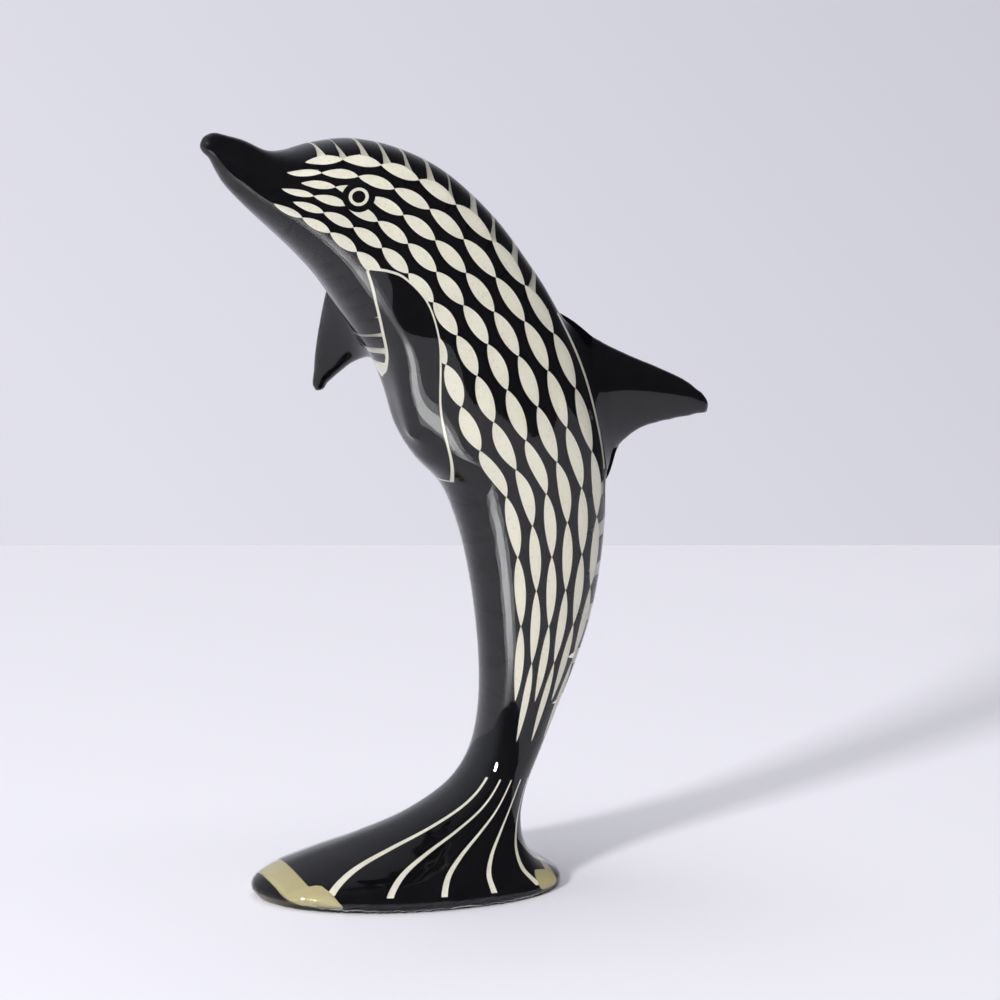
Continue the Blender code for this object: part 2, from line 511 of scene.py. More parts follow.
class BodyForm:
    """The cast body as a surface, found by its run from the beak and its share across.

    A run is the way in mm along the middles of the sections, from the first. A share is 0
    at the belly and 1 at the back, on the line between them. A turn goes round a section
    from the belly, 0, over the near flank to the back, pi.
    """

    STEP = 0.01

    def __init__(self, sections: Sequence[Section]) -> None:
        """Measure the run of each section."""
        self.rows = np.array([section.row() for section in sections])
        self.stations = np.linspace(0, len(sections) - 1, 40 * (len(sections) - 1) + 1)
        fine = smooth_steps(self.rows, self.stations)
        middles = (fine[:, 0:2] + fine[:, 2:4]) / 2
        lengths = np.hypot(*(middles[1:] - middles[:-1]).T)
        self.runs = np.concatenate([[0.0], np.cumsum(lengths)])
        self.length = float(self.runs[-1])

    def sections_at(self, run: Array) -> Array:
        """Return the blended section rows at each run."""
        return smooth_steps(self.rows, np.interp(run, self.runs, self.stations))

    def chord(self, run: float) -> float:
        """Return the distance in mm from belly to back at a run."""
        row = self.sections_at(np.array([run]))[0]
        return float(np.hypot(row[2] - row[0], row[3] - row[1]))

    def turn(self, run: Array, share: Array) -> Array:
        """Return the turn that has a share at a run."""
        row = self.sections_at(run)
        lean, front_power, back_power = row[..., 5], row[..., 6], row[..., 7]
        high = np.clip((share - lean) / (1 - lean), 0, 1) ** (back_power / 2)
        low = np.clip((lean - share) / lean, 0, 1) ** (front_power / 2)
        return np.arccos(np.clip(np.where(share > lean, -high, low), -1, 1))

    def raw(self, run: Array, turn: Array) -> Array:
        """Return points of the cast surface, near side for turns from 0 to pi."""
        row = self.sections_at(run)
        lean, front_power, back_power = row[..., 5], row[..., 6], row[..., 7]
        along, across = -np.cos(turn), -np.sin(turn)
        power = np.where(along > 0, back_power, front_power)
        reach = np.where(along > 0, 1 - lean, lean)
        share = lean + np.sign(along) * reach * np.abs(along) ** (2 / power)
        offset = np.sign(across) * np.abs(across) ** (2 / power)
        x = row[..., 0] + (row[..., 2] - row[..., 0]) * share
        z = row[..., 1] + (row[..., 3] - row[..., 1]) * share
        return np.stack([x, row[..., 4] * offset, z], axis=-1)

    def share(self, run: Array, turn: Array) -> Array:
        """Return the share at a run and a turn."""
        row = self.sections_at(run)
        lean, front_power, back_power = row[..., 5], row[..., 6], row[..., 7]
        along = -np.cos(turn)
        power = np.where(along > 0, back_power, front_power)
        reach = np.where(along > 0, 1 - lean, lean)
        return lean + np.sign(along) * reach * np.abs(along) ** (2 / power)

    def near(self, run: Array, turn: Array, depth: float) -> Array:
        """Return points of the near side at a depth under the cast surface.

        Args:
            run: Ways from the beak in mm.
            turn: Turns from belly to back, of the same shape.
            depth: How far under the surface, in mm.

        Returns:
            Drawn points, with one more axis than run.
        """
        run, turn = np.broadcast_arrays(np.asarray(run, float), np.asarray(turn, float))
        ahead, behind = np.minimum(run + 0.2, self.length), np.maximum(run - 0.2, 0)
        along = self.raw(ahead, turn) - self.raw(behind, turn)
        round_way = self.raw(run, turn + self.STEP) - self.raw(run, turn - self.STEP)
        normal = np.cross(along, round_way)
        normal /= np.maximum(np.linalg.norm(normal, axis=-1, keepdims=True), 1e-9)
        points = self.raw(run, turn)
        row = self.sections_at(run)
        middle_x = (row[..., 0] + row[..., 2]) / 2
        middle_z = (row[..., 1] + row[..., 3]) / 2
        outward = points - np.stack([middle_x, np.zeros_like(middle_x), middle_z], -1)
        normal *= np.sign(np.sum(normal * outward, axis=-1, keepdims=True))
        points = points - normal * depth
        points[..., 1] = np.minimum(points[..., 1], 0.0)
        return points

    def slab(self, name: str, run: Array, share: Array, depth: float) -> bpy.types.Mesh:
        """Return a layer that goes through the body from the near side to the far one.

        Args:
            name: The mesh's name.
            run: A grid of runs.
            share: A grid of shares, of the same shape.
            depth: How far its faces lie under the cast surface, in mm.

        Returns:
            A closed mesh whose outline is the grid's edge.
        """
        rows, columns = run.shape
        near = self.near(run, self.turn(run, share), depth).reshape(-1, 3)
        far = near * (1, -1, 1)
        count = rows * columns
        faces = []
        for i in range(rows - 1):
            for j in range(columns - 1):
                a, b = i * columns + j, (i + 1) * columns + j
                faces.append((a, a + 1, b + 1, b))
                faces.append((count + a, count + b, count + b + 1, count + a + 1))
        edge = list(range(columns))
        edge += [i * columns + columns - 1 for i in range(1, rows)]
        edge += [(rows - 1) * columns + j for j in range(columns - 2, -1, -1)]
        edge += [i * columns for i in range(rows - 2, 0, -1)]
        for a, b in zip(edge, edge[1:] + edge[:1]):
            faces.append((a, count + a, count + b, b))
        return closed_mesh(name, np.vstack([near, far]), faces)


@dataclass(frozen=True)
class Rhythm:
    """Places along the body that stand further apart towards the tail."""

    start: float
    first_gap: float
    growth: float
    count: int

    def index(self, run: Array) -> Array:
        """Return how many places lie before a run, with its fraction."""
        return np.log1p(self.growth * (run - self.start) / self.first_gap) / math.log1p(self.growth)

    def nearness(self, run: Array) -> Array:
        """Return 0 at each place and 1 midway to the next."""
        index = self.index(np.maximum(run, self.start))
        return 2 * np.abs(index - np.round(index))


@dataclass
class Casting:
    """The clear outer body with its fins, as one skin.

    The forms are fused on a grid of cells. Relaxing then fills the corners at the fins, and
    rounds of shrinking and swelling smooth the skin without making it smaller.
    """

    form: BodyForm
    ring_points: int = 112
    ring_gap: float = 0.9
    cell: float = 0.62
    rounds: int = 160
    fillet_reach: float = 6.5
    fillet_rounds: int = 150
    fillet_weight: float = 0.6
    shrink: float = 0.5
    swell: float = -0.515
    grounded_height: float = 0.3

    def build(self, blades: Sequence["Blade"]) -> bpy.types.Object:
        """Return the clear casting with the blades fused into it.

        Args:
            blades: The fins, each a closed form that runs into the body.

        Returns:
            The piece.
        """
        turns = np.linspace(0, 2 * math.pi, self.ring_points, endpoint=False)
        runs = np.linspace(0, self.form.length, int(self.form.length / self.ring_gap))
        rings = [self.form.raw(np.full_like(turns, run), turns) for run in runs]
        rings = domed(np.array(BEAK_TIP), rings[0], 8) + rings
        points = np.vstack(rings)
        mesh = closed_mesh("clear_casting", points, loft_faces(len(rings), self.ring_points))
        body, fins = bmesh.new(), bmesh.new()
        body.from_mesh(mesh)
        for blade in blades:
            other = blade.mesh(f"{blade.name}_skin", 0.0)
            fins.from_mesh(other)
            bpy.data.meshes.remove(other)
        forms = [BVHTree.FromBMesh(body), BVHTree.FromBMesh(fins)]
        fin_mesh = bpy.data.meshes.new("fins")
        fins.to_mesh(fin_mesh)
        body.from_mesh(fin_mesh)
        body.to_mesh(mesh)
        body.free()
        fins.free()
        bpy.data.meshes.remove(fin_mesh)
        piece = link_piece("clear_casting", mesh)
        self._fuse(piece)
        self._polish(piece, forms)
        return piece

    def _fuse(self, piece: bpy.types.Object) -> None:
        """Make one even skin of the overlapping forms."""
        remesh = piece.modifiers.new("fuse", "REMESH")
        remesh.mode = "VOXEL"
        remesh.voxel_size = self.cell * MM
        depsgraph = bpy.context.evaluated_depsgraph_get()
        fused = bpy.data.meshes.new_from_object(piece.evaluated_get(depsgraph))
        piece.modifiers.clear()
        old = piece.data
        piece.data = fused
        bpy.data.meshes.remove(old)
        fused.name = "clear_casting"

    def _polish(self, piece: bpy.types.Object, forms: Sequence[BVHTree]) -> None:
        """Smooth the skin, fill the corners where fins meet the body, and keep its size.

        Args:
            piece: The fused skin.
            forms: The body alone and the fins alone, to find where they meet.
        """
        mesh = piece.data
        count = len(mesh.vertices)
        points = np.empty(count * 3)
        mesh.vertices.foreach_get("co", points)
        points = points.reshape(-1, 3)
        ends = np.empty(len(mesh.edges) * 2, dtype=np.int64)
        mesh.edges.foreach_get("vertices", ends)
        ends = ends.reshape(-1, 2)
        degree = np.bincount(ends.ravel(), minlength=count)[:, None]
        grounded = points[:, 2] < self.grounded_height * MM
        points[grounded, 2] = 0.0

        def relaxed(places: Array, weight: float | Array) -> Array:
            """Return the points moved towards the middle of their neighbours."""
            total = np.zeros_like(places)
            for axis in range(3):
                first = np.bincount(ends[:, 0], places[ends[:, 1], axis], count)
                second = np.bincount(ends[:, 1], places[ends[:, 0], axis], count)
                total[:, axis] = first + second
            moved = places + weight * (total / degree - places)
            moved[grounded, 2] = 0.0
            return moved

        corner = self._corner_weights(points, forms)
        for _ in range(self.fillet_rounds):
            points = relaxed(points, corner)
        for _ in range(self.rounds):
            points = relaxed(relaxed(points, self.shrink), self.swell)
        low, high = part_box(CAD_NODE)
        points = np.clip(points, np.array(low), np.array(high))
        mesh.vertices.foreach_set("co", points.ravel())
        mesh.update()
        mesh.shade_smooth()

    def _corner_weights(self, points: Array, forms: Sequence[BVHTree]) -> Array:
        """Return how much to relax each point: most where both forms are near."""
        reach = self.fillet_reach * MM
        weights = np.zeros((len(points), 1))
        for index, point in enumerate(points):
            place = Vector(point)
            to_fin = forms[1].find_nearest(place, reach)[3]
            if to_fin is None:
                continue
            to_body = forms[0].find_nearest(place, reach)[3]
            if to_body is not None:
                weights[index] = self.fillet_weight * (1 - max(to_fin, to_body) / reach)
        return weights


@dataclass
class Core:
    """The black layer that fills the body, with clear notches at the belly and the back.

    Runs, rims, gaps and heights are in mm, notches in shares of the body. The rims stay
    clear along the edge of the stem and the foot, and the gaps at the toe and the heel.
    """

    form: BodyForm
    rhythm: Rhythm
    ring_points: int = 34
    ring_gap: float = 0.42
    belly_notch: float = 0.12
    back_notch: float = 0.24
    notch_reach: float = 0.6
    foot_start: float = 205.0
    foot_rim: float = 3.2
    toe_gap: float = 8.0
    heel_gap: float = 4.5
    fin_runs: tuple[float, float] = (90.0, 131.0)
    stem_start: float = 150.0
    stem_rim: float = 1.4
    sole_start: float = 234.0
    sole_reach: float = 13.0
    sole_height: float = 0.7
    easing: float = 20.0

    def shares(self, run: Array) -> tuple[Array, Array]:
        """Return the shares between which the layer lies at each run."""
        index = self.rhythm.index(np.maximum(run, self.rhythm.start))
        inside = (run > self.rhythm.start - 1) & (index < self.rhythm.count - 0.5)
        cut = np.clip(1 - self.rhythm.nearness(run) / self.notch_reach, 0, 1)
        cut = np.where(inside, cut, 0.0)
        at_fin = (run > self.fin_runs[0]) & (run < self.fin_runs[1])
        chord = np.array([self.form.chord(float(r)) for r in run])
        stem = np.clip((run - self.stem_start) / self.easing, 0, 1) * self.stem_rim / chord
        foot = np.clip((run - self.foot_start) / self.easing, 0, 1)
        sole = np.clip((run - self.sole_start) / self.sole_reach, 0, 1)
        rim = foot * self.foot_rim / chord + sole * (self.toe_gap - self.foot_rim) / chord
        heel = sole * self.heel_gap / chord
        low = np.maximum(self.belly_notch * cut + stem, rim)
        high = 1 - np.maximum(self.back_notch * np.where(at_fin, 0.0, cut), heel)
        return low, high

    def build(self) -> bpy.types.Object:
        """Return the black core."""
        first, last = 0.4, self.form.length - 1.2
        runs = np.linspace(first, last, int((last - first) / self.ring_gap))
        low, high = self.shares(runs)
        low_turn, high_turn = self.form.turn(runs, low), self.form.turn(runs, high)
        ways = np.linspace(0, 1, self.ring_points)
        turns = low_turn[:, None] + (high_turn - low_turn)[:, None] * ways
        near = self.form.near(runs[:, None], turns, Depth.CORE.value)
        far = near[:, ::-1] * (1, -1, 1)
        rings = np.concatenate([near, far], axis=1)
        rings[..., 2] = np.maximum(rings[..., 2], self.sole_height)
        tip = np.array(BEAK_TIP)
        inward = rings[0].mean(axis=0) - tip
        tip = tip + inward / np.linalg.norm(inward) * Depth.CORE.value
        rings = np.concatenate([np.array(domed(tip, rings[0], 6)), rings])
        faces = loft_faces(len(rings), rings.shape[1])
        return link_piece("black_core", closed_mesh("black_core", rings.reshape(-1, 3), faces))


class Motif(Enum):
    """The plan shapes that are let into the core."""

    SPINDLE = "spindle"
    STRIP = "strip"


@dataclass
class Inlay:
    """Ivory shapes in rows along the body, laid out by Geometry Nodes on a flat plan.

    The plan has the run from 0 to 1 along X and the share along Y. Each shape is a prism
    through the body, bent on to a skin of the body that carries the plan as its UV map.
    """

    form: BodyForm
    name: str
    motif: Motif
    rhythm: Rhythm
    rows: int
    lowest: float
    highest: float
    length_share: float
    height_share: float
    cells: tuple[int, int]
    stagger: float = 0.0
    taper_power: float = 0.85
    skin_cells: tuple[int, int] = (560, 90)

    def skin(self) -> bpy.types.Object:
        """Return the near side of the body at the inlay's depth, with the plan on it."""
        runs = np.linspace(0, self.form.length, self.skin_cells[0])
        turns = np.linspace(0, math.pi, self.skin_cells[1])
        run, turn = np.meshgrid(runs, turns, indexing="ij")
        points = placed(self.form.near(run, turn, Depth.MOTIF.value)).reshape(-1, 3)
        shares = self.form.share(run, turn).ravel()
        columns = len(turns)
        corners = []
        for i in range(len(runs) - 1):
            for j in range(columns - 1):
                a, b = i * columns + j, (i + 1) * columns + j
                corners.append((a, b, b + 1, a + 1))
        mesh = bpy.data.meshes.new("plan_skin")
        mesh.from_pydata(points.tolist(), [], corners)
        plan = np.stack([run.ravel() / self.form.length, shares], axis=-1)
        indices = np.empty(len(mesh.loops), dtype=np.int64)
        mesh.loops.foreach_get("vertex_index", indices)
        layer = mesh.uv_layers.new(name="plan")
        layer.data.foreach_set("uv", plan[indices].ravel())
        return link_piece("plan_skin", mesh)

    def tree(self, material: bpy.types.Material) -> bpy.types.NodeTree:
        """Return the tree that lays out the shapes and bends them on to the skin."""
        tree = bpy.data.node_groups.new(f"{self.name}_layout", "GeometryNodeTree")
        sockets = {
            "Skin": "NodeSocketObject",
            "Count": "NodeSocketInt",
            "Rows": "NodeSocketInt",
            "Start": "NodeSocketFloat",
            "First Gap": "NodeSocketFloat",
            "Growth": "NodeSocketFloat",
            "Stagger": "NodeSocketFloat",
            "Lowest": "NodeSocketFloat",
            "Row Height": "NodeSocketFloat",
            "Length Share": "NodeSocketFloat",
            "Height Share": "NodeSocketFloat",
            "Body Length": "NodeSocketFloat",
            "Material": "NodeSocketMaterial",
        }
        tree.interface.new_socket("Geometry", in_out="OUTPUT", socket_type="NodeSocketGeometry")
        for name, kind in sockets.items():
            tree.interface.new_socket(name, in_out="INPUT", socket_type=kind)
        kit = NodeKit(tree)
        given = kit.node("NodeGroupInput")
        value = {name: Wire(kit, given.outputs[name]) for name in sockets}

        index = kit.add("GeometryNodeInputIndex")
        row = (index / value["Count"]).floor()
        step = index % value["Count"] + (row % 2.0) * value["Stagger"]
        ratio = value["Growth"] + 1.0
        run = value["Start"] + value["First Gap"] * (ratio**step - 1.0) / value["Growth"]
        gap = value["First Gap"] * ratio**step
        share = value["Lowest"] + value["Row Height"] * (row + 0.5)
        place = kit.add(
            "ShaderNodeCombineXYZ", None, {"X": run / value["Body Length"], "Y": share}
        )
        scale = kit.add(
            "ShaderNodeCombineXYZ",
            None,
            {
                "X": gap * value["Length Share"] / value["Body Length"],
                "Y": value["Row Height"] * value["Height Share"],
                "Z": 1.0,
            },
        )
        total = value["Count"] * value["Rows"]
        points = kit.add("GeometryNodePoints", None, {"Count": total, "Position": place})
        shape = kit.add(
            "GeometryNodeMeshGrid",
            None,
            {"Vertices X": self.cells[0], "Vertices Y": self.cells[1]},
        )
        if self.motif is Motif.SPINDLE:
            corner = kit.node("ShaderNodeSeparateXYZ", None, {0: kit.add("GeometryNodeInputPosition")})
            x, y = Wire(kit, corner.outputs[0]), Wire(kit, corner.outputs[1])
            narrowed = y * (1.0 - x * x * 4.0).at_least(0.0) ** self.taper_power
            pointed = kit.add("ShaderNodeCombineXYZ", None, {"X": x, "Y": narrowed})
            shape = kit.add(
                "GeometryNodeSetPosition", None, {"Geometry": shape, "Position": pointed}
            )
        instances = kit.add(
            "GeometryNodeInstanceOnPoints", None, {"Points": points, "Instance": shape, "Scale": scale}
        )
        flat = kit.add("GeometryNodeRealizeInstances", None, {"Geometry": instances})
        raised = kit.add(
            "GeometryNodeExtrudeMesh",
            None,
            {"Mesh": flat, "Offset": (0.0, 0.0, 1.0), "Individual": False},
        )
        under = kit.add("GeometryNodeFlipFaces", None, {"Mesh": flat})
        joined = kit.node("GeometryNodeJoinGeometry")
        tree.links.new(raised.socket, joined.inputs[0])
        tree.links.new(under.socket, joined.inputs[0])
        prisms = kit.add(
            "GeometryNodeMergeByDistance",
            None,
            {"Geometry": Wire(kit, joined.outputs[0]), "Distance": MERGE_DISTANCE},
        )
        skin = kit.add("GeometryNodeObjectInfo", None, {"Object": value["Skin"]}, "Geometry")
        plan = kit.add(
            "GeometryNodeInputNamedAttribute", {"data_type": "FLOAT_VECTOR"}, {"Name": "plan"}
        )
        here = kit.add("GeometryNodeInputPosition")
        sampled = kit.add(
            "GeometryNodeSampleUVSurface",
            {"data_type": "FLOAT_VECTOR"},
            {"Mesh": skin, "Value": here, "Source UV Map": plan, "Sample UV": here},
        )
        height = kit.node("ShaderNodeSeparateXYZ", None, {0: here})
        side = 1.0 - Wire(kit, height.outputs[2]) * 2.0
        mirror = kit.add("ShaderNodeCombineXYZ", None, {"X": 1.0, "Y": side, "Z": 1.0})
        bent = kit.add(
            "ShaderNodeVectorMath", {"operation": "MULTIPLY"}, {0: sampled, 1: mirror}
        )
        moved = kit.add("GeometryNodeSetPosition", None, {"Geometry": prisms, "Position": bent})
        whole = kit.add("GeometryNodeRealizeInstances", None, {"Geometry": moved})
        done = kit.add(
            "GeometryNodeSetMaterial", None, {"Geometry": whole, "Material": value["Material"]}
        )
        result = kit.node("NodeGroupOutput")
        tree.links.new(done.socket, result.inputs[0])
        return tree

    def build(self, material: bpy.types.Material) -> bpy.types.Object:
        """Return the inlay as a plain mesh.

        Args:
            material: The resin that the shapes are made of.

        Returns:
            The piece.
        """
        skin = self.skin()
        piece = link_piece(self.name, bpy.data.meshes.new(self.name))
        layout = piece.modifiers.new("layout", "NODES")
        layout.node_group = self.tree(material)
        values = {
            "Skin": skin,
            "Count": self.rhythm.count,
            "Rows": self.rows,
            "Start": self.rhythm.start,
            "First Gap": self.rhythm.first_gap,
            "Growth": self.rhythm.growth,
            "Stagger": self.stagger,
            "Lowest": self.lowest,
            "Row Height": (self.highest - self.lowest) / self.rows,
            "Length Share": self.length_share,
            "Height Share": self.height_share,
            "Body Length": self.form.length,
            "Material": material,
        }
        for item in layout.node_group.interface.items_tree:
            if item.in_out == "INPUT":
                layout[item.identifier] = values[item.name]
        depsgraph = bpy.context.evaluated_depsgraph_get()
        mesh = bpy.data.meshes.new_from_object(piece.evaluated_get(depsgraph))
        piece.modifiers.remove(layout)
        piece.data = tidied(mesh)
        bpy.data.objects.remove(skin, do_unlink=True)
        return piece


@dataclass(frozen=True)
class BladeSection:
    """One section of a fin: its leading and trailing points and half its thickness."""

    lead: tuple[float, float, float]
    trail: tuple[float, float, float]
    side: tuple[float, float, float]


@dataclass
class Blade:
    """A fin or flipper as a closed form from its tip to inside the body."""

    name: str
    tip: tuple[float, float, float]
    sections: Sequence[BladeSection]
    lean: float
    lead_power: float
    trail_power: float
    ring_points: int = 56
    steps: int = 14

    def mesh(self, name: str, depth: float) -> bpy.types.Mesh:
        """Return the form, shrunk by a depth under its own surface.

        Args:
            name: The mesh's name.
            depth: How far inside the surface it lies, in mm.

        Returns:
            A closed mesh.
        """
        rows = np.array([[*s.lead, *s.trail, *s.side] for s in self.sections])
        rows = smooth_steps(rows, np.linspace(0, len(rows) - 1, self.steps * (len(rows) - 1) + 1))
        rings = [self._ring(row, depth) for row in rows]
        tip = np.array(self.tip)
        inward = rings[0].mean(axis=0) - tip
        tip = tip + inward / np.linalg.norm(inward) * depth
        rings = domed(tip, rings[0], 8) + rings
        points = np.vstack(rings)
        return closed_mesh(name, points, loft_faces(len(rings), self.ring_points))

    def _ring(self, row: Array, depth: float) -> Array:
        """Return one section's outline at a depth."""
        lead, trail, side = row[0:3], row[3:6], row[6:9]
        way = (trail - lead) / np.linalg.norm(trail - lead)
        lead, trail = lead + way * depth, trail - way * depth
        side = side * (1 - depth / np.linalg.norm(side))
        turns = np.linspace(0, 2 * math.pi, self.ring_points, endpoint=False)
        along, across = np.cos(turns), np.sin(turns)
        power = np.where(along > 0, self.trail_power, self.lead_power)
        reach = np.where(along > 0, 1 - self.lean, self.lean)
        place = self.lean + np.sign(along) * reach * np.abs(along) ** (2 / power)
        offset = np.sign(across) * np.abs(across) ** (2 / power)
        return lead + (trail - lead) * place[:, None] + side * offset[:, None]


def dorsal_fin() -> Blade:
    """Return the fin on the back."""

    def section(lead: tuple, trail: tuple, half: float) -> BladeSection:
        """Return a section that lies in the plane y = 0."""
        return BladeSection((lead[0], 0, lead[1]), (trail[0], 0, trail[1]), (0, half, 0))

    sections = (
        section((68.4, 125.4), (69.2, 119.4), 1.8),
        section((64.0, 128.8), (64.8, 118.8), 2.5),
        section((56.6, 132.6), (58.0, 118.0), 3.3),
        section((47.6, 136.8), (51.4, 116.4), 4.2),
        section((39.6, 141.2), (45.8, 112.2), 5.2),
        section((32.4, 147.0), (42.4, 103.6), 6.4),
        section((24.0, 152.0), (36.0, 98.0), 5.0),
    )
    return Blade("dorsal_fin", (70.9, 0.0, 121.4), sections, 0.42, 2.0, 1.7)


def near_flipper() -> Blade:
    """Return the near flipper, which lies close along the flank."""
    sections = (
        BladeSection((-15.8, -6.5, 122.0), (-8.6, -8.5, 122.0), (-0.3, -1.6, 0.0)),
        BladeSection((-17.2, -6.5, 125.9), (-5.1, -9.5, 125.6), (-0.5, -2.6, 0.0)),
        BladeSection((-18.7, -7.0, 131.3), (-3.3, -11.0, 130.9), (-0.7, -3.6, 0.0)),
        BladeSection((-20.3, -8.0, 138.6), (-2.9, -12.0, 138.0), (-0.8, -4.4, 0.0)),
        BladeSection((-22.1, -9.5, 145.7), (-3.7, -12.5, 144.9), (-0.8, -5.4, 0.0)),
        BladeSection((-23.6, -11.0, 152.4), (-5.5, -13.0, 151.6), (-0.5, -5.2, -0.1)),
        BladeSection((-24.8, -12.0, 157.8), (-9.6, -12.5, 156.9), (-0.1, -3.4, -0.1)),
        BladeSection((-26.3, -12.5, 162.4), (-18.3, -12.5, 161.9), (0.0, -1.4, 0.0)),
    )
    return Blade("near_flipper", (-14.6, -7.0, 119.0), sections, 0.45, 2.0, 1.9)


def far_flipper() -> Blade:
    """Return the far flipper, which stands out from the flank a little more."""
    sections = (
        BladeSection((-29.1, 25.9, 132.5), (-26.1, 25.5, 129.1), (1.3, 1.1, 0.6)),
        BladeSection((-28.9, 24.6, 138.6), (-23.3, 23.0, 132.6), (2.4, 1.9, 1.0)),
        BladeSection((-27.8, 22.8, 147.7), (-19.6, 20.0, 136.1), (3.8, 2.6, 1.4)),
        BladeSection((-26.2, 20.2, 157.3), (-15.6, 17.0, 137.3), (5.6, 3.0, 1.8)),
        BladeSection((-24.4, 17.2, 166.4), (-11.0, 13.2, 135.0), (7.4, 2.8, 2.4)),
        BladeSection((-19.0, 9.0, 166.0), (-8.0, 7.0, 133.0), (7.0, 1.6, 2.4)),
    )
    return Blade("far_flipper", (-28.3, 27.0, 127.6), sections, 0.45, 2.0, 1.9)


@dataclass
class Eye:
    """A plain round eye let into both sides of the head, with its radii in mm."""

    form: BodyForm
    run: float = 36.0
    share: float = 0.6
    field_radius: float = 4.0
    ring_radius: float = 2.4
    pupil_radius: float = 1.6
    cells: int = 13

    def disc(self, name: str, radius: float, depth: Depth) -> bpy.types.Object:
        """Return a round layer through the head.

        Args:
            name: The piece's name.
            radius: Its radius in mm.
            depth: How far it lies under the surface.

        Returns:
            The piece.
        """
        way = np.linspace(-1, 1, self.cells)
        x, y = np.meshgrid(way, way, indexing="ij")
        disc_x = x * np.sqrt(1 - y**2 / 2)
        disc_y = y * np.sqrt(1 - x**2 / 2)
        run = self.run + radius * disc_x
        share = self.share + radius * disc_y / self.form.chord(self.run)
        return link_piece(name, self.form.slab(name, run, share, depth.value))


@dataclass
class SealedField:
    """A field of one colour on both sides of the body.

    Each row of its edge has a run and the lower and upper share of the field there.
    """

    form: BodyForm
    edge: tuple[tuple[float, float, float], ...]

    def layer(self, name: str, margin: float, depth: Depth) -> bpy.types.Object:
        """Return the field as a layer, larger all round by a margin.

        Args:
            name: The piece's name.
            margin: How much larger it is, in mm.
            depth: How far it lies under the surface.

        Returns:
            The piece.
        """
        rows = smooth_steps(np.array(self.edge), np.linspace(0, len(self.edge) - 1, 110))
        run = rows[:, 0]
        middle = (run[0] + run[-1]) / 2
        run = middle + (run - middle) * (1 + 2 * margin / (run[-1] - run[0]))
        spare = margin / np.array([self.form.chord(float(r)) for r in run])
        low = np.maximum(rows[:, 1] - np.where(rows[:, 1] > 0.002, spare, 0), 0)
        high = rows[:, 2] + spare
        across = np.linspace(0, 1, 22)[None, :]
        share = low[:, None] + (high - low)[:, None] * across
        return link_piece(name, self.form.slab(name, run[:, None] + 0 * across, share, depth.value))


FLANK_EDGE = (
    (49.4, 0.226, 0.236),
    (54.0, 0.185, 0.305),
    (59.0, 0.144, 0.345),
    (68.0, 0.094, 0.352),
    (78.0, 0.050, 0.297),
    (88.0, 0.0, 0.225),
    (97.0, 0.0, 0.172),
    (108.0, 0.0, 0.140),
    (118.0, 0.0, 0.104),
    (126.6, 0.0, 0.03),
)
TOE_EDGE = (
    (244.7, 0.115, 0.130),
    (245.7, 0.075, 0.165),
    (246.8, 0.058, 0.188),
    (248.0, 0.065, 0.202),
    (248.9, 0.090, 0.200),
)
HEEL_EDGE = (
    (242.4, 0.905, 0.915),
    (243.6, 0.885, 0.945),
    (245.2, 0.870, 0.955),
    (247.0, 0.860, 0.945),
    (248.6, 0.870, 0.920),
)


@dataclass
class FinLine:
    """The thin ivory line where the dorsal fin springs from the back."""

    form: BodyForm
    first_run: float = 92.0
    last_run: float = 129.5
    share: float = 0.962
    width: float = 0.7

    def build(self) -> bpy.types.Object:
        """Return the line, let into both sides."""
        run = np.linspace(self.first_run, self.last_run, 70)[:, None]
        half = self.width / 2 / self.form.chord((self.first_run + self.last_run) / 2)
        across = np.linspace(-half, half, 4)[None, :]
        share = self.share + across + 0 * run
        run = run + 0 * across
        return link_piece(
            "ivory_fin_line", self.form.slab("ivory_fin_line", run, share, Depth.OUTLINE.value)
        )


@dataclass(frozen=True)
class LowGlow:
    """The bright ground before the figure that its polish mirrors as one long highlight.

    Each row of its path has a distance in metres, an azimuth in degrees and a radiance. Each
    layer has its width as a share of the distance, its strength and its height in metres.
    """

    path: tuple[tuple[float, float, float], ...] = (
        (0.112, -28.0, 2.6),
        (0.134, -37.0, 5.4),
        (0.157, -41.0, 6.6),
        (0.177, -42.0, 4.8),
        (0.191, -43.5, 2.9),
        (0.215, -48.0, 1.8),
        (0.250, -53.0, 1.2),
        (0.340, -60.0, 0.6),
    )
    layers: tuple[tuple[float, float, float], ...] = ((0.52, 0.45, 0.002), (0.26, 1.0, 0.003))
    slices: int = 13

    def patches(self) -> list[tuple[float, float, float, float]]:
        """Return the start, end, azimuth and radiance of each slice."""
        rows = smooth_steps(np.array(self.path), np.linspace(0, len(self.path) - 1, self.slices + 1))
        return [
            (float(near[0]), float(far[0]), float(near[1] + far[1]) / 2, float(near[2] + far[2]) / 2)
            for near, far in zip(rows, rows[1:])
        ]


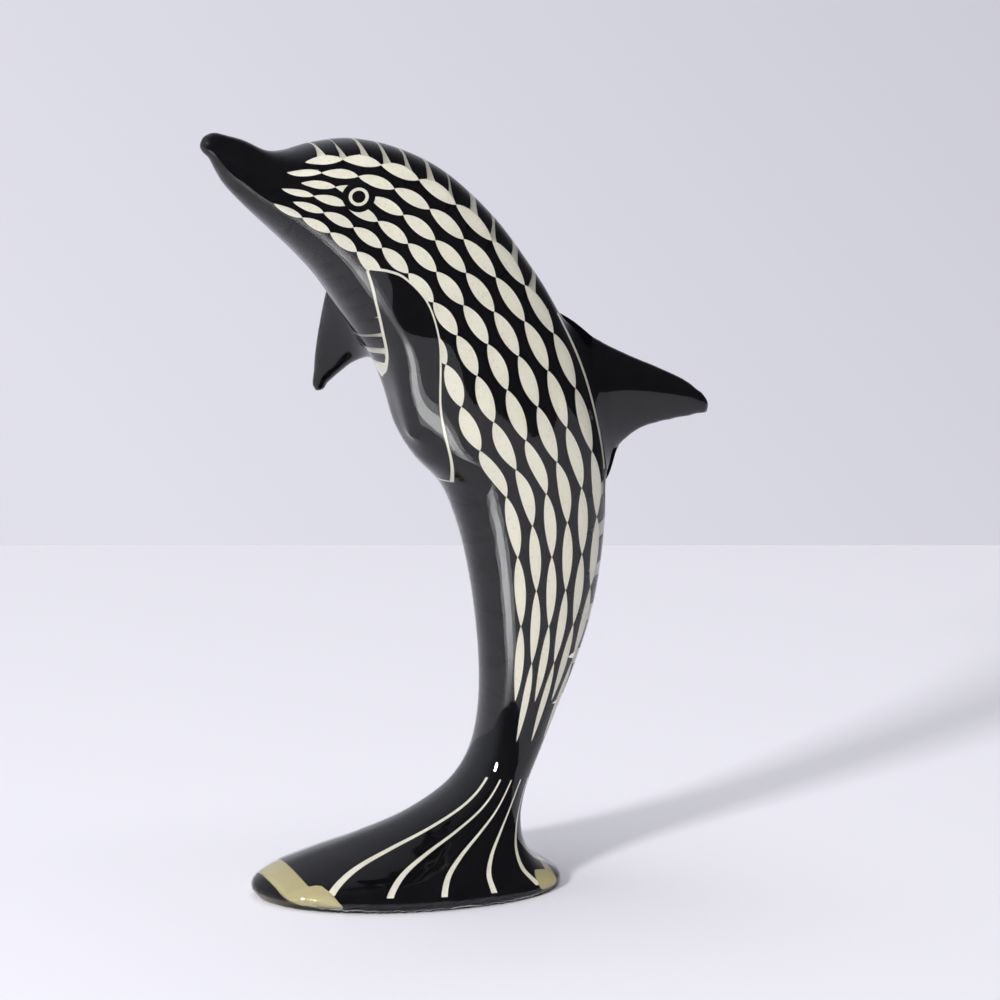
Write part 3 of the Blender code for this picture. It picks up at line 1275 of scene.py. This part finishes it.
@dataclass
class Studio:
    """The pale floor and backdrop, the lights and the camera.

    Lengths are in metres, and the lens and the sensor in mm. The floor ends short of the
    camera, so that its edge shows in the polish.
    """

    azimuth: float = math.radians(-21)
    elevation: float = math.radians(12.5)
    distance: float = 1.514
    lens: float = 210.0
    sensor: float = 36.0
    far_clip: float = 20.0
    target: tuple[float, float, float] = (0.01095, 0.0, 0.1005)
    floor_back: float = 0.385
    floor_front: float = 0.29
    floor_side: float = 1.6
    backdrop: tuple[float, float, float, float] = rgba(0.75, 0.745, 0.83)
    dim_side: tuple[float, float, float, float] = rgba(0.06, 0.06, 0.07)
    bright_side: tuple[float, float, float, float] = rgba(0.55, 0.56, 0.62)
    backdrop_level: float = 0.95
    fall_upwards: float = 0.75
    fall_sideways: float = 0.85

    @property
    def ahead(self) -> Vector:
        """Return the level direction that the camera looks along."""
        return Vector((-math.sin(self.azimuth), math.cos(self.azimuth), 0.0))

    @property
    def right(self) -> Vector:
        """Return the level direction to the right of the picture."""
        return Vector((math.cos(self.azimuth), math.sin(self.azimuth), 0.0))

    def toward(self, azimuth: float, elevation: float) -> Vector:
        """Return the direction from the figure to a light, in degrees."""
        turn, rise = math.radians(azimuth), math.radians(elevation)
        level = math.cos(rise)
        return Vector((math.sin(turn) * level, -math.cos(turn) * level, math.sin(rise)))

    def build(self) -> None:
        """Build all of it."""
        self.camera()
        self.floor()
        self.world()
        self.lights()
        bpy.context.scene.view_settings.view_transform = "Standard"
        bpy.context.scene.view_settings.look = "None"

    def camera(self) -> None:
        """Stand the camera where the photograph was taken from."""
        data = bpy.data.cameras.new("camera")
        data.lens = self.lens
        data.sensor_width = self.sensor
        data.clip_end = self.far_clip
        camera = bpy.data.objects.new("camera", data)
        bpy.context.scene.collection.objects.link(camera)
        fall = math.sin(self.elevation)
        view = self.ahead * math.cos(self.elevation) - Vector((0, 0, fall))
        camera.location = Vector(self.target) - view * self.distance
        camera.rotation_euler = view.to_track_quat("-Z", "Y").to_euler()
        bpy.context.scene.camera = camera

    def floor(self) -> None:
        """Lay the floor, whose far edge is the line across the backdrop."""
        centre = Vector((self.target[0], self.target[1], 0.0))
        corners = []
        for side, depth in ((-1, -1), (1, -1), (1, 1), (-1, 1)):
            way = self.floor_back if depth > 0 else -self.floor_front
            corners.append(centre + self.right * side * self.floor_side + self.ahead * way)
        mesh = bpy.data.meshes.new("floor")
        mesh.from_pydata([tuple(c) for c in corners], [], [(0, 1, 2, 3)])
        floor = link_piece("floor", mesh)
        floor.data.materials.append(FLOOR.build())

    def world(self) -> None:
        """Make the pale backdrop, and the studio that the polish mirrors."""
        world = bpy.data.worlds.new("studio")
        world.use_nodes = True
        bpy.context.scene.world = world
        kit = NodeKit(world.node_tree)
        kit.tree.nodes.clear()
        way = kit.add("ShaderNodeTexCoord", output="Generated")
        split = kit.node("ShaderNodeSeparateXYZ", None, {0: way})
        rise = Wire(kit, split.outputs[2])
        path = kit.node("ShaderNodeLightPath")
        seen = Wire(kit, path.outputs["Is Camera Ray"])
        through = Wire(kit, path.outputs["Is Transmission Ray"])
        sideways = kit.add(
            "ShaderNodeVectorMath",
            {"operation": "DOT_PRODUCT"},
            {0: way, 1: tuple(self.right)},
            "Value",
        )
        above = rise + math.sin(self.elevation)
        level = self.backdrop_level - above * self.fall_upwards - sideways * self.fall_sideways
        share = kit.add("ShaderNodeClamp", None, {"Value": level, "Min": 0.7, "Max": 1.1})
        backdrop = kit.blend(share, rgba(0.0, 0.0, 0.0), self.backdrop)
        bright = (-self.right * 0.8 + self.ahead * 0.6).normalized()
        facing = kit.add(
            "ShaderNodeVectorMath", {"operation": "DOT_PRODUCT"}, {0: way, 1: tuple(bright)}, "Value"
        )
        share = kit.add(
            "ShaderNodeMapRange",
            {"interpolation_type": "SMOOTHSTEP"},
            {"Value": facing, "From Min": -0.15, "From Max": 0.75},
        )
        studio = kit.blend(share, self.dim_side, self.bright_side)
        plain = kit.add("ShaderNodeBackground", None, {"Color": backdrop})
        mirrored = kit.add("ShaderNodeBackground", None, {"Color": studio})
        mixed = kit.add("ShaderNodeMixShader", None, {0: seen + through, 1: mirrored, 2: plain})
        out = kit.node("ShaderNodeOutputWorld")
        kit.tree.links.new(mixed.socket, out.inputs["Surface"])

    def lights(self) -> None:
        """Hang the lamps: the key casts the shadow, and the rest fill and shine."""
        key = self.lamp("key_softbox", self.toward(-59, 21), 2.0, (0.24, 0.24), 33.0)
        key.visible_transmission = False
        above = Vector((0, 0.1, 1)).normalized()
        overhead = self.lamp("overhead_fill", above, 3.0, (3.2, 3.2), 64.0)
        overhead.visible_glossy = False
        front = self.lamp("inner_fill", self.toward(-21, 25), 1.7, (1.5, 1.5), 22.0)
        front.visible_glossy = False
        front.visible_diffuse = False
        self.glow(LowGlow())

    def glow(self, glow: LowGlow) -> None:
        """Lay lamps on the floor, face up, that only the polish mirrors."""
        for start, end, azimuth, radiance in glow.patches():
            middle = (start + end) / 2
            for spread, strength, height in glow.layers:
                width, depth = spread * middle, end - start
                power = radiance * strength * math.pi * depth * width
                lamp = self.lamp("low_glow", Vector((0, 0, 1)), 1.0, (width, depth), power)
                ground = self.toward(azimuth, 0.0) * middle
                lamp.location = Vector((MIDDLE_X * MM, 0.0, height)) + ground
                lamp.rotation_euler = (math.pi, 0.0, math.radians(azimuth))
                lamp.visible_transmission = False
                lamp.visible_diffuse = False

    def lamp(
        self, name: str, way: Vector, distance: float, size: tuple[float, float], power: float
    ) -> bpy.types.Object:
        """Return a rectangular lamp that faces the figure.

        Args:
            name: Its name.
            way: The direction from the figure to it.
            distance: How far away it hangs, in metres.
            size: Its width and height, in metres.
            power: Its power in watts.

        Returns:
            The lamp.
        """
        data = bpy.data.lights.new(name, "AREA")
        data.shape = "RECTANGLE"
        data.size, data.size_y = size
        data.energy = power
        lamp = bpy.data.objects.new(name, data)
        bpy.context.scene.collection.objects.link(lamp)
        lamp.location = Vector(self.target) + way * distance
        lamp.rotation_euler = (-way).to_track_quat("-Z", "Y").to_euler()
        return lamp


@dataclass
class Dolphin:
    """The whole figure, with the rhythms of its notches and of its rows of spindles."""

    form: BodyForm = field(default_factory=lambda: BodyForm(BODY_SECTIONS))
    notches: Rhythm = Rhythm(start=25.4, first_gap=4.6, growth=0.05, count=22)
    rows: Rhythm = Rhythm(start=22.0, first_gap=8.0, growth=0.085, count=13)
    foot: Rhythm = Rhythm(start=228.0, first_gap=36.0, growth=0.01, count=1)
    flank_line: float = 0.5

    def build(self) -> None:
        """Build and dress every piece."""
        clear, black, ivory, amber = (f.build() for f in (CLEAR, BLACK, IVORY, AMBER))
        fin, near, far = dorsal_fin(), near_flipper(), far_flipper()
        self.dress(Casting(self.form).build([fin, near, far]), clear)
        self.dress(Core(self.form, self.notches).build(), black)
        # The near flipper lies so low that it has no core of its own.
        for blade in (fin, far):
            name = f"{blade.name}_core"
            piece = link_piece(name, blade.mesh(name, Depth.BLADE_CORE.value))
            self.dress(piece, black)
        spindles = Inlay(
            form=self.form,
            name="ivory_spindles",
            motif=Motif.SPINDLE,
            rhythm=self.rows,
            rows=6,
            lowest=0.20,
            highest=0.93,
            length_share=0.96,
            height_share=0.66,
            cells=(29, 6),
            stagger=0.5,
        )
        self.dress(spindles.build(ivory), ivory)
        foot_lines = Inlay(
            form=self.form,
            name="ivory_foot_lines",
            motif=Motif.STRIP,
            rhythm=self.foot,
            rows=5,
            lowest=0.08,
            highest=0.95,
            length_share=1.0,
            height_share=0.12,
            cells=(60, 5),
        )
        self.dress(foot_lines.build(ivory), ivory)
        flank = SealedField(self.form, FLANK_EDGE)
        edges = flank.layer("ivory_flank_edges", self.flank_line, Depth.OUTLINE)
        self.dress(edges, ivory)
        self.dress(flank.layer("black_flank_fields", 0.0, Depth.PATCH), black)
        for end, edge in (("toe", TOE_EDGE), ("heel", HEEL_EDGE)):
            sheets = SealedField(self.form, edge).layer(f"amber_{end}_sheets", 0.0, Depth.PATCH)
            self.dress(sheets, amber)
        self.dress(FinLine(self.form).build(), ivory)
        eye = Eye(self.form)
        self.dress(eye.disc("black_eye_fields", eye.field_radius, Depth.PATCH), black)
        self.dress(eye.disc("ivory_eye_rings", eye.ring_radius, Depth.EYE_RING), ivory)
        self.dress(eye.disc("black_pupils", eye.pupil_radius, Depth.PUPIL), black)

    def dress(self, piece: bpy.types.Object, finish: bpy.types.Material) -> None:
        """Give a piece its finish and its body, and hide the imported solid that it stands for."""
        piece.data.materials.clear()
        piece.data.materials.append(finish)
        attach(piece, CAD_BODY)
        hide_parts(CAD_NODE)
        LOG.info("%s: %d faces", piece.name, len(piece.data.polygons))


def main() -> None:
    """Build the studio and the figure."""
    logging.basicConfig(level=logging.INFO, format="%(name)s: %(message)s")
    Studio().build()
    Dolphin().build()


if __name__ == "__main__":
    main()
